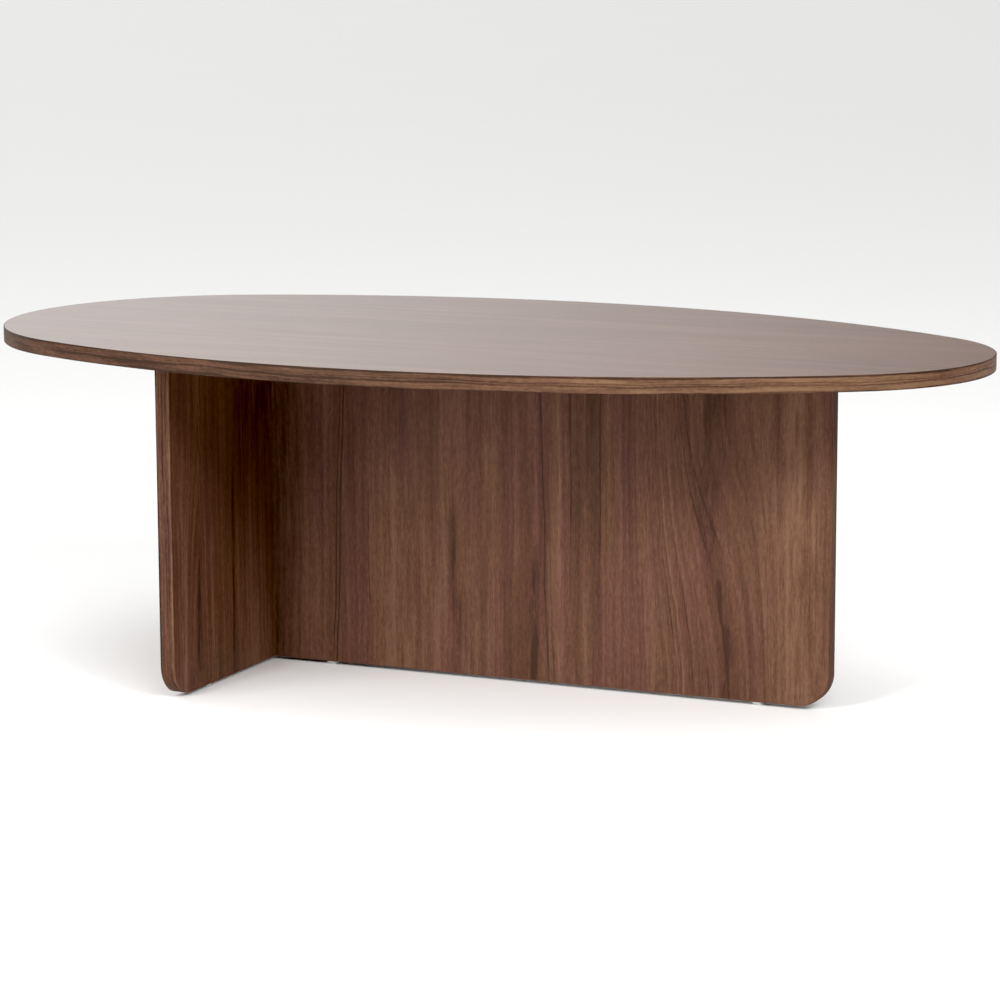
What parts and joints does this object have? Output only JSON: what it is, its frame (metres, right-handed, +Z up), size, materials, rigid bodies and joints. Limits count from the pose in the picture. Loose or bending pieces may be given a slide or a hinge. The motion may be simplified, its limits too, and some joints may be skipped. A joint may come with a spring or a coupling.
{
  "type": "coffee table",
  "caption": "Low coffee table with an egg-shaped oval walnut veneered top on a T of upright boards with rounded lower corners, joined by cam bolts and dowels.",
  "frame": {"origin": "on the floor, under the middle of the top's length and width", "axes": "+X along the spine board towards the narrow end of the top, +Y across the table towards the face of the spine that holds the cams, +Z up"},
  "size_m": [1.2, 0.6744, 0.407],
  "materials": {
    "walnut_top_veneer": "satin lacquer",
    "walnut_panel_veneer": "satin lacquer",
    "walnut_edge_band": "satin lacquer",
    "chipboard": "raw pressed board",
    "beech_dowel": "raw",
    "zinc_plated_steel": "bright zinc plating",
    "cast_zinc_alloy": "as cast, satin",
    "brown_plastic": "moulded, satin",
    "translucent_plastic": "moulded, milky"
  },
  "bodies": {
    "root": {"top_board_core": "chipboard", "top_face_veneer": "walnut_top_veneer", "top_underside_veneer": "walnut_panel_veneer", "top_edge_band": "walnut_edge_band", "spine_board_core": "chipboard", "spine_front_veneer": "walnut_panel_veneer", "spine_back_veneer": "walnut_panel_veneer", "spine_edge_band": "walnut_edge_band", "cross_board_core": "chipboard", "cross_inner_veneer": "walnut_panel_veneer", "cross_outer_veneer": "walnut_panel_veneer", "cross_edge_band": "walnut_edge_band", "top_dowels": "beech_dowel", "joint_dowels": "beech_dowel", "top_cam_bolts": "zinc_plated_steel", "joint_cam_bolts": "zinc_plated_steel", "spine_cams": "cast_zinc_alloy", "cross_cams": "cast_zinc_alloy", "spine_cam_caps": "brown_plastic", "cross_cam_caps": "brown_plastic", "glides": "translucent_plastic", "glide_nails": "zinc_plated_steel"}
  },
  "joints": []
}
